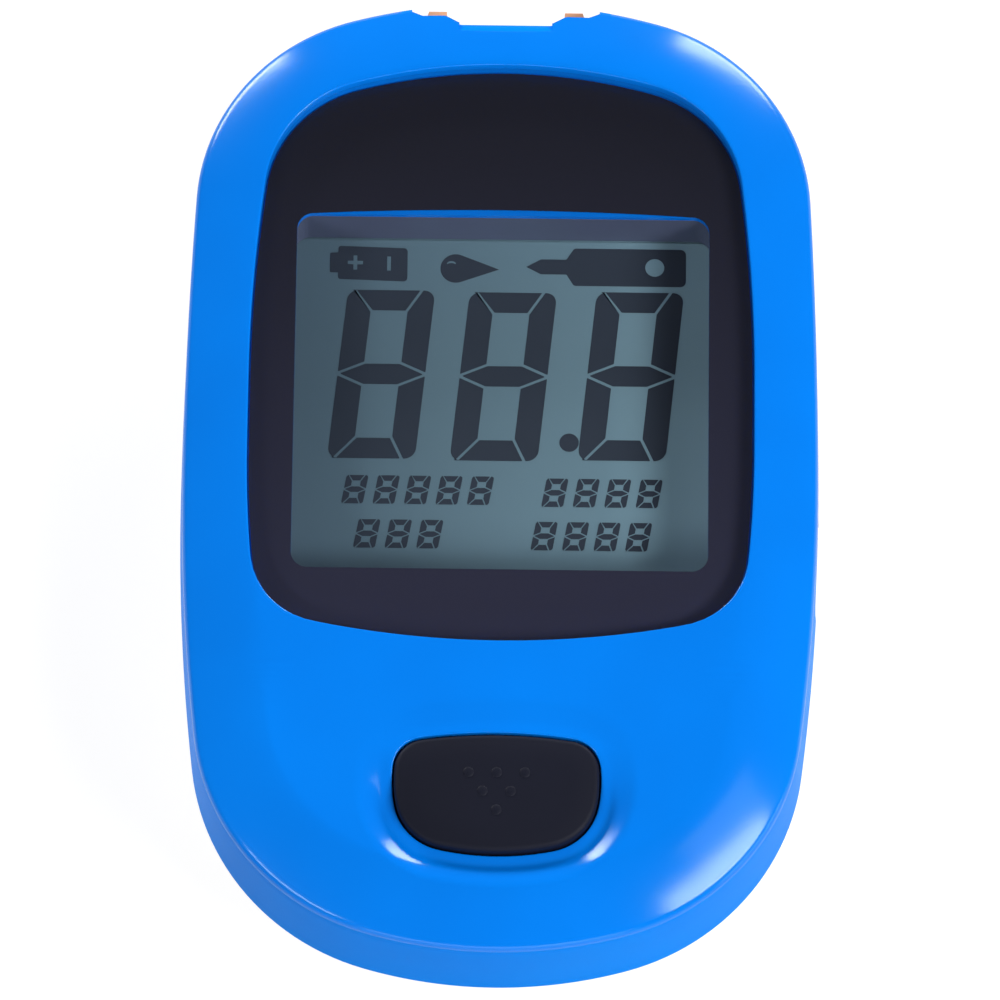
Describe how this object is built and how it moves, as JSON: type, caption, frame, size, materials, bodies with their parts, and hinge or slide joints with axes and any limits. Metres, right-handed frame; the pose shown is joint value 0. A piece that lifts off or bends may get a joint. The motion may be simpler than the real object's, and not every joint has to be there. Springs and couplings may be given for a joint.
{
  "type": "blood glucose meter",
  "caption": "Pocket blood glucose meter: rounded two-part shell, large screen lens, one push button, strip port at the top end, code chip in the flank and a sliding battery cover.",
  "frame": {"origin": "centre of the footprint at the level of the flat back", "axes": "+X to the right of the screen, +Y towards the strip port, +Z out of the screen; the meter lies on its back"},
  "size_m": [0.05, 0.079, 0.0205],
  "materials": {
    "blue_plastic": "smooth semi-gloss moulding",
    "pale_plastic": "fine satin moulding",
    "clear_lens": "clear polished sheet",
    "black_ink": "black print behind the lens",
    "adhesive": "black double-sided tape",
    "button_rubber": "fine matt silicone",
    "black_plastic": "dull moulding",
    "frame_plastic": "pale grey-lavender moulding",
    "display_glass": "thin display glass, read as grey-green",
    "polariser_film": "satin film",
    "silver_film": "silvered film",
    "zebra_rubber": "striped silicone",
    "circuit_board": "green solder mask",
    "orange_plastic": "smooth moulding",
    "steel": "plain bright steel",
    "cell_steel": "nickel-plated steel",
    "gold_contact": "gold-plated spring metal"
  },
  "bodies": {
    "housing": {"front_housing": "blue_plastic", "rear_housing": "pale_plastic", "screen_lens": "clear_lens", "lens_mask": "black_ink", "lens_adhesive": "adhesive", "switch_body": "black_plastic", "switch_dome": "steel", "lcd_frame": "frame_plastic", "lcd_front_glass": "display_glass", "lcd_rear_glass": "display_glass", "lcd_polariser": "polariser_film", "lcd_reflector": "silver_film", "zebra_connector": "zebra_rubber", "main_board": "circuit_board", "mcu_chip": "black_plastic", "memory_chip": "black_plastic", "amplifier_chip": "black_plastic", "crystal_can": "steel", "board_screw_1": "steel", "board_screw_2": "steel", "board_screw_3": "steel", "board_screw_4": "steel", "housing_screw_1": "steel", "housing_screw_2": "steel", "housing_screw_3": "steel", "housing_screw_4": "steel", "strip_port_guide": "orange_plastic", "strip_contact_block": "black_plastic", "strip_contact_1": "gold_contact", "strip_contact_2": "gold_contact", "strip_contact_3": "gold_contact", "strip_contact_4": "gold_contact", "strip_contact_5": "gold_contact", "code_socket": "black_plastic", "code_contact_1": "gold_contact", "code_contact_2": "gold_contact", "code_contact_3": "gold_contact", "code_contact_4": "gold_contact", "coin_cell_1": "cell_steel", "coin_cell_2": "cell_steel", "battery_negative_1": "steel", "battery_negative_2": "steel", "battery_positive_1": "steel", "battery_positive_2": "steel"},
    "button": {"button_cap": "button_rubber", "switch_stem": "black_plastic"},
    "battery_cover": {"battery_cover": "pale_plastic"},
    "code_chip": {"code_chip_handle": "pale_plastic", "code_chip_board": "circuit_board"}
  },
  "joints": [
    {"name": "button_press", "type": "slide", "parent": "housing", "child": "button", "axis": [0, 0, -1], "range_m": [0, 0.0005], "stiffness_N_per_m": 1500},
    {"name": "battery_cover_slide", "type": "slide", "parent": "housing", "child": "battery_cover", "axis": [0, -1, 0], "range_m": [0, 0.0035]},
    {"name": "code_chip_slide", "type": "slide", "parent": "housing", "child": "code_chip", "axis": [1, 0, 0], "range_m": [0, 0.012]}
  ]
}
